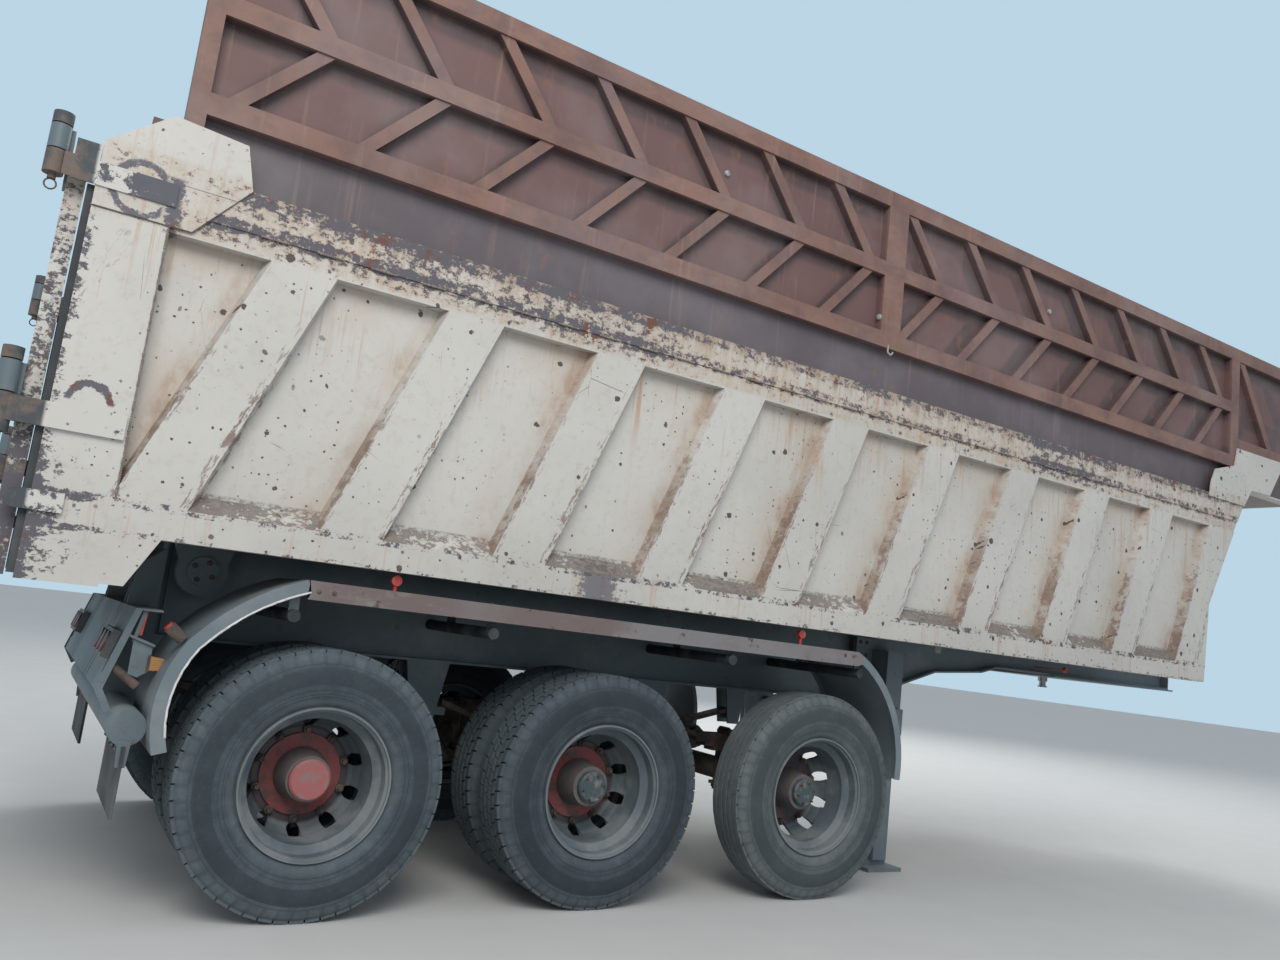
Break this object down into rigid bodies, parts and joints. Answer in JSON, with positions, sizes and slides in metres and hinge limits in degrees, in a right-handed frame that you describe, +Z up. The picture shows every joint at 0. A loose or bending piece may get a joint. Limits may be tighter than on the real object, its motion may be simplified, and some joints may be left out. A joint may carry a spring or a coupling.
{
  "type": "tri-axle tipping semi-trailer",
  "caption": "Tipping semi-trailer with slant-ribbed sides, chevron-ribbed side extensions, barn doors, telescopic ram, twin wheels and landing legs.",
  "frame": {"origin": "on the ground, under the middle of the whole outline", "axes": "+X forward to the kingpin end, +Y left, +Z up"},
  "size_m": [8.77, 2.538, 3.955],
  "materials": {
    "body_paint": "weathered cream paint with primer patches",
    "extension_paint": "dull maroon paint, dusty",
    "chassis_paint": "dull blue-black paint",
    "axle_paint": "dusty dark paint",
    "fender_paint": "dull black with a rust-brown lip",
    "wheel_paint": "dusty grey paint",
    "ram_paint": "satin dark paint",
    "bare_steel": "oiled ground steel",
    "spring_steel": "dusty, lightly rusted",
    "tyre_rubber": "dusty worn rubber",
    "black_rubber": "dull sheet rubber",
    "red_lens": "moulded red lens"
  },
  "bodies": {
    "chassis": {"chassis_frame": "chassis_paint", "coupler_plate": "chassis_paint", "kingpin": "bare_steel", "landing_legs": "chassis_paint", "spring_hangers": "chassis_paint", "leaf_springs": "spring_steel", "axle_beams": "axle_paint", "brake_chambers": "axle_paint", "fenders": "fender_paint", "fender_stays": "chassis_paint", "underrun_bar": "chassis_paint", "lamp_board": "chassis_paint", "mudflaps": "black_rubber", "tail_lamps": "red_lens", "tilt_pivots": "chassis_paint", "hoist_cradle": "chassis_paint"},
    "tipper_body": {"floor": "body_paint", "tilt_bosses": "chassis_paint", "side_walls": "body_paint", "top_rails": "body_paint", "front_wall": "body_paint", "rear_posts": "body_paint", "door_seals": "black_rubber", "extensions": "extension_paint", "canopy": "body_paint", "door_hinges": "chassis_paint", "hoist_yoke": "chassis_paint"},
    "door_leaf_left": {"door_left": "body_paint", "door_straps_left": "chassis_paint"},
    "door_leaf_right": {"door_right": "body_paint", "door_straps_right": "chassis_paint"},
    "ram_barrel_body": {"ram_barrel": "ram_paint"},
    "ram_stage_body_1": {"ram_stage_1": "bare_steel"},
    "ram_stage_body_2": {"ram_stage_2": "bare_steel"},
    "ram_stage_body_3": {"ram_stage_3": "bare_steel"},
    "ram_stage_body_4": {"ram_stage_4": "bare_steel"},
    "ram_stage_body_5": {"ram_stage_5": "bare_steel"},
    "wheel_rear_left": {"tyres_rear_left": "tyre_rubber", "wheels_rear_left": "wheel_paint"},
    "wheel_rear_right": {"tyres_rear_right": "tyre_rubber", "wheels_rear_right": "wheel_paint"},
    "wheel_middle_left": {"tyres_middle_left": "tyre_rubber", "wheels_middle_left": "wheel_paint"},
    "wheel_middle_right": {"tyres_middle_right": "tyre_rubber", "wheels_middle_right": "wheel_paint"},
    "wheel_front_left": {"tyres_front_left": "tyre_rubber", "wheels_front_left": "wheel_paint"},
    "wheel_front_right": {"tyres_front_right": "tyre_rubber", "wheels_front_right": "wheel_paint"}
  },
  "joints": [
    {"name": "body_tilt", "type": "hinge", "parent": "chassis", "child": "tipper_body", "pos_m": [-3.526, 0, 1.3], "axis": [0, -1, 0], "range_deg": [0, 45]},
    {"name": "door_right_hinge", "type": "hinge", "parent": "tipper_body", "child": "door_leaf_right", "pos_m": [-4.351, -1.235, 1.75], "axis": [0, 0, 1], "range_deg": [0, 270]},
    {"name": "door_left_hinge", "type": "hinge", "parent": "tipper_body", "child": "door_leaf_left", "pos_m": [-4.351, 1.235, 1.75], "axis": [0, 0, -1], "range_deg": [0, 270]},
    {"name": "ram_swing", "type": "hinge", "parent": "chassis", "child": "ram_barrel_body", "pos_m": [3.654, 0, 1.4], "axis": [0, -1, 0], "range_deg": [0, 22.6]},
    {"name": "ram_extend_1", "type": "slide", "parent": "ram_barrel_body", "child": "ram_stage_body_1", "axis": [-0.1082, 0, 0.9941], "range_m": [0, 1.0745]},
    {"name": "ram_extend_2", "type": "slide", "parent": "ram_stage_body_1", "child": "ram_stage_body_2", "axis": [-0.1082, 0, 0.9941], "range_m": [0, 1.0745]},
    {"name": "ram_extend_3", "type": "slide", "parent": "ram_stage_body_2", "child": "ram_stage_body_3", "axis": [-0.1082, 0, 0.9941], "range_m": [0, 1.0745]},
    {"name": "ram_extend_4", "type": "slide", "parent": "ram_stage_body_3", "child": "ram_stage_body_4", "axis": [-0.1082, 0, 0.9941], "range_m": [0, 1.0745]},
    {"name": "ram_extend_5", "type": "slide", "parent": "ram_stage_body_4", "child": "ram_stage_body_5", "axis": [-0.1082, 0, 0.9941], "range_m": [0, 1.0745]},
    {"name": "wheel_rear_left_spin", "type": "hinge", "parent": "chassis", "child": "wheel_rear_left", "pos_m": [-3.066, 0.95, 0.525], "axis": [0, 1, 0], "continuous": true},
    {"name": "wheel_rear_right_spin", "type": "hinge", "parent": "chassis", "child": "wheel_rear_right", "pos_m": [-3.066, -0.95, 0.525], "axis": [0, 1, 0], "continuous": true},
    {"name": "wheel_middle_left_spin", "type": "hinge", "parent": "chassis", "child": "wheel_middle_left", "pos_m": [-1.756, 0.95, 0.525], "axis": [0, 1, 0], "continuous": true},
    {"name": "wheel_middle_right_spin", "type": "hinge", "parent": "chassis", "child": "wheel_middle_right", "pos_m": [-1.756, -0.95, 0.525], "axis": [0, 1, 0], "continuous": true},
    {"name": "wheel_front_left_spin", "type": "hinge", "parent": "chassis", "child": "wheel_front_left", "pos_m": [-0.446, 0.95, 0.525], "axis": [0, 1, 0], "continuous": true},
    {"name": "wheel_front_right_spin", "type": "hinge", "parent": "chassis", "child": "wheel_front_right", "pos_m": [-0.446, -0.95, 0.525], "axis": [0, 1, 0], "continuous": true}
  ],
  "couplings": [
    {"joint": "ram_swing", "follows": "body_tilt", "ratio": 0.5},
    {"joint": "ram_extend_1", "follows": "body_tilt", "m_per_rad": 1.3669},
    {"joint": "ram_extend_2", "follows": "body_tilt", "m_per_rad": 1.3669},
    {"joint": "ram_extend_3", "follows": "body_tilt", "m_per_rad": 1.3669},
    {"joint": "ram_extend_4", "follows": "body_tilt", "m_per_rad": 1.3669},
    {"joint": "ram_extend_5", "follows": "body_tilt", "m_per_rad": 1.3669}
  ]
}
